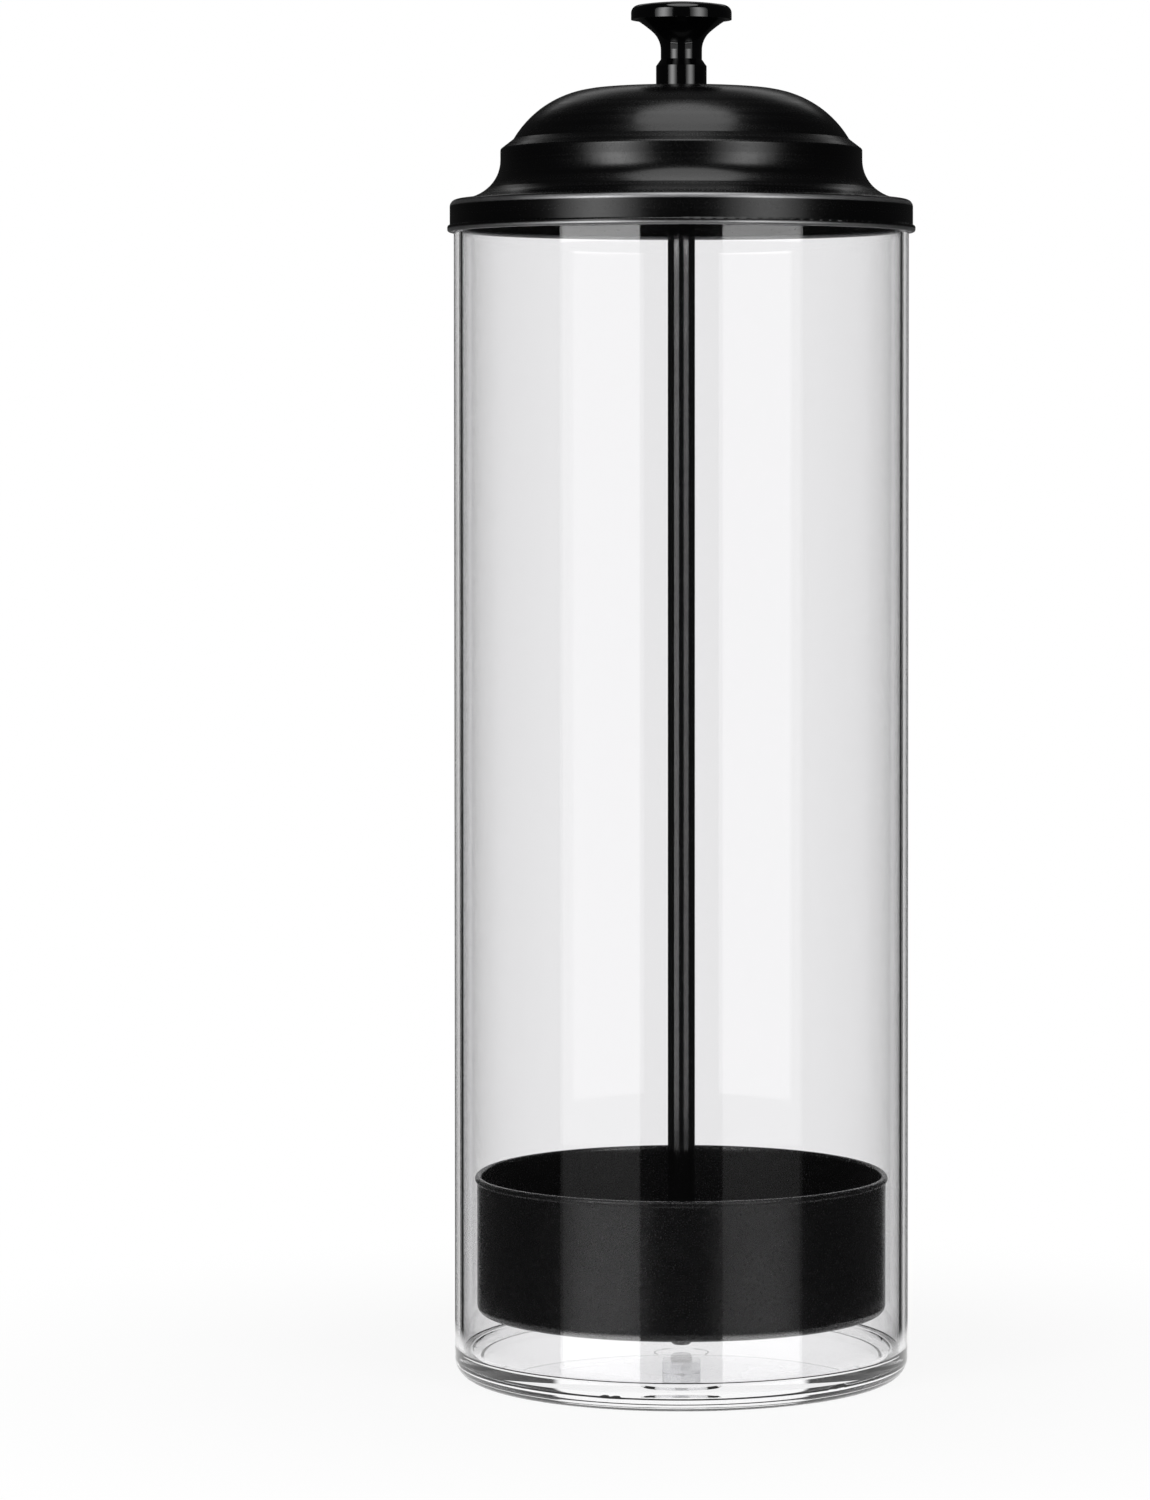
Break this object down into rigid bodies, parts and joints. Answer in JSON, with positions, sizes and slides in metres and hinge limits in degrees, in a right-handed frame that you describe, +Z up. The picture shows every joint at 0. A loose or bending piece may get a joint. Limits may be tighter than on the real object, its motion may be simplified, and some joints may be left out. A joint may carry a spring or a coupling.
{
  "type": "straw dispenser",
  "caption": "Clear cylindrical jar with a domed metal lid; pulling up the knob lifts the lid, a central rod and the cup in which straws stand.",
  "frame": {"origin": "centre of the foot, on the surface that the dispenser stands on", "axes": "+Z up along the axis of the tube, rod and lid; the parts are round about Z, so X and Y are free, and a corner of each nut points along Y"},
  "size_m": [0.0851, 0.085, 0.2502],
  "materials": {
    "acrylic": "clear, polished",
    "satin_black_steel": "satin, fine grain",
    "gloss_black_metal": "gloss",
    "satin_black_aluminium": "black, satin",
    "zinc_steel": "bright zinc plate"
  },
  "bodies": {
    "jar": {"base_disc": "acrylic", "clear_tube": "acrylic"},
    "lift": {"lid_shell": "satin_black_steel", "pull_knob": "gloss_black_metal", "lid_washer": "zinc_steel", "lift_rod": "gloss_black_metal", "straw_cup": "satin_black_aluminium", "cup_nut": "zinc_steel", "lock_nut": "zinc_steel"}
  },
  "joints": [
    {"name": "lid_lift", "type": "slide", "parent": "jar", "child": "lift", "axis": [0, 0, 1], "range_m": [0, 0.21]}
  ]
}
